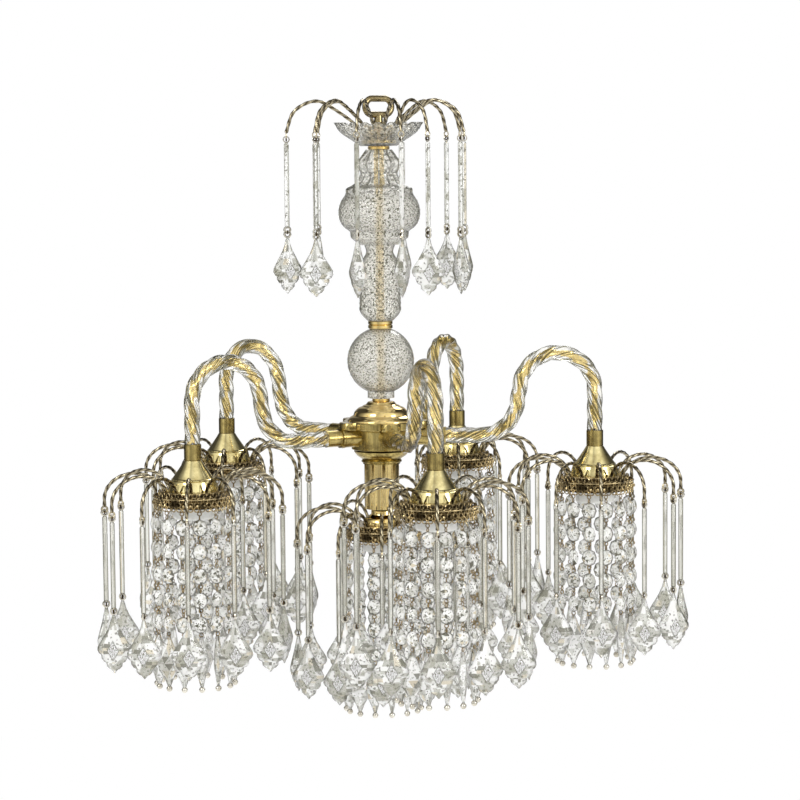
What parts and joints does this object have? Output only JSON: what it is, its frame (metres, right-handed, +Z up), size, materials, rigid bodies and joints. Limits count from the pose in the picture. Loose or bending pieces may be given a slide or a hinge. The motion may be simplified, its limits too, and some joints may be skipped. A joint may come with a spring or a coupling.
{
  "type": "crystal chandelier",
  "caption": "Ceiling chandelier: cut-glass column on a hanging loop, S-shaped rope-glass arms on a brass hub, lamps inside bead curtains ringed by arched wires with rods and pendants.",
  "frame": {"origin": "middle of the inside top of the hanging loop, where the ceiling hook bears", "axes": "+Z up; -Y is the front of the picture; +X to its right"},
  "size_m": [0.5884, 0.5994, 0.6208],
  "materials": {
    "polished_brass": "polished and lacquered",
    "satin_brass": "brushed around, satin",
    "dark_brass": "antiqued filigree",
    "wire_brass": "twisted wire, dull",
    "crystal": "cut and polished, clear",
    "cut_glass": "moulded with a cut pattern, clear",
    "arm_glass": "rope-twisted, clear",
    "holder_white": "plain"
  },
  "bodies": {
    "frame": {"arm_glass_1": "arm_glass", "arm_glass_2": "arm_glass", "arm_glass_3": "arm_glass", "arm_glass_4": "arm_glass", "arm_glass_5": "arm_glass", "arm_tubes": "polished_brass", "ball_glass": "cut_glass", "bead_strings_1": "crystal", "bead_strings_2": "crystal", "bead_strings_3": "crystal", "bead_strings_4": "crystal", "bead_strings_5": "crystal", "bead_strings_6": "crystal", "centre_cap": "polished_brass", "centre_tube": "polished_brass", "column_washers": "polished_brass", "down_tube": "polished_brass", "hanging_loop": "polished_brass", "hub_body": "satin_brass", "hub_cover": "polished_brass", "hub_ferrules": "polished_brass", "hub_foot": "polished_brass", "lamp_caps": "polished_brass", "lamp_ferrules": "polished_brass", "lamp_gallery_1": "dark_brass", "lamp_gallery_2": "dark_brass", "lamp_gallery_3": "dark_brass", "lamp_gallery_4": "dark_brass", "lamp_gallery_5": "dark_brass", "lamp_gallery_6": "dark_brass", "lamp_holders": "holder_white", "neck_glass": "cut_glass", "spray_collar": "polished_brass", "spray_drops_1": "crystal", "spray_drops_2": "crystal", "spray_drops_3": "crystal", "spray_drops_4": "crystal", "spray_drops_5": "crystal", "spray_drops_6": "crystal", "spray_wires_1": "wire_brass", "spray_wires_2": "wire_brass", "spray_wires_3": "wire_brass", "spray_wires_4": "wire_brass", "spray_wires_5": "wire_brass", "spray_wires_6": "wire_brass", "top_dish": "cut_glass", "top_spray_wires": "wire_brass", "tumbler_glass": "cut_glass", "vase_glass": "cut_glass"},
    "drop_1": {"top_drop_1": "crystal"},
    "drop_2": {"top_drop_2": "crystal"},
    "drop_3": {"top_drop_3": "crystal"},
    "drop_4": {"top_drop_4": "crystal"},
    "drop_5": {"top_drop_5": "crystal"},
    "drop_6": {"top_drop_6": "crystal"},
    "drop_7": {"top_drop_7": "crystal"},
    "drop_8": {"top_drop_8": "crystal"},
    "drop_9": {"top_drop_9": "crystal"},
    "drop_10": {"top_drop_10": "crystal"}
  },
  "joints": [
    {"name": "drop_swing_1", "type": "hinge", "parent": "frame", "child": "drop_1", "pos_m": [0.02226, -0.08927, -0.0352], "axis": [-0.9703, -0.2419, 0], "range_deg": [-8, 60]},
    {"name": "drop_swing_2", "type": "hinge", "parent": "frame", "child": "drop_2", "pos_m": [0.04818, -0.05351, -0.0352], "axis": [-0.7431, -0.6691, 0], "range_deg": [-8, 60]},
    {"name": "drop_swing_3", "type": "hinge", "parent": "frame", "child": "drop_3", "pos_m": [0.08039, -0.03579, -0.0352], "axis": [-0.4067, -0.9135, 0], "range_deg": [-8, 60]},
    {"name": "drop_swing_4", "type": "hinge", "parent": "frame", "child": "drop_4", "pos_m": [0.08539, 0.02129, -0.0352], "axis": [0.2419, -0.9703, 0], "range_deg": [-8, 60]},
    {"name": "drop_swing_5", "type": "hinge", "parent": "frame", "child": "drop_5", "pos_m": [0.06837, 0.06156, -0.0352], "axis": [0.6691, -0.7431, 0], "range_deg": [-8, 60]},
    {"name": "drop_swing_6", "type": "hinge", "parent": "frame", "child": "drop_6", "pos_m": [0.02381, 0.08886, -0.0352], "axis": [0.9659, -0.2588, 0], "range_deg": [-8, 60]},
    {"name": "drop_swing_7", "type": "hinge", "parent": "frame", "child": "drop_7", "pos_m": [-0.06274, 0.06728, -0.0352], "axis": [0.7314, 0.682, 0], "range_deg": [-8, 60]},
    {"name": "drop_swing_8", "type": "hinge", "parent": "frame", "child": "drop_8", "pos_m": [-0.092, 0, -0.0352], "axis": [0, 1, 0], "range_deg": [-8, 60]},
    {"name": "drop_swing_9", "type": "hinge", "parent": "frame", "child": "drop_9", "pos_m": [-0.06156, -0.06837, -0.0352], "axis": [-0.7431, 0.6691, 0], "range_deg": [-8, 60]},
    {"name": "drop_swing_10", "type": "hinge", "parent": "frame", "child": "drop_10", "pos_m": [-0.0207, -0.08964, -0.0352], "axis": [-0.9744, 0.225, 0], "range_deg": [-8, 60]}
  ]
}
